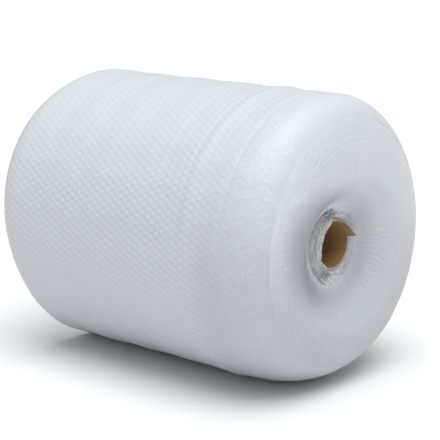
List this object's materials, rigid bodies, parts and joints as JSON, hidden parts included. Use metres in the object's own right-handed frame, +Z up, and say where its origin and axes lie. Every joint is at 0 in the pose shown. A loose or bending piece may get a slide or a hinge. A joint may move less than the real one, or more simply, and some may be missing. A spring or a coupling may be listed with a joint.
{
  "type": "bubble wrap roll",
  "caption": "Full roll of clear bubble film wound on a kraft tube, lying on its side, with bulging soft ends.",
  "frame": {"origin": "on the surface that the roll lies on, under the middle of the roll", "axes": "+X along the roll's axis towards the end with the torn tube, +Z up"},
  "size_m": [0.59, 0.4773, 0.4747],
  "materials": {
    "kraft_board": "matt unbleached paper, spiral-wound, with a torn end",
    "bubble_film": "milky clear polyethylene film, many turns deep, softly glossy"
  },
  "bodies": {
    "root": {"core_tube": "kraft_board", "film_roll": "bubble_film"}
  },
  "joints": []
}
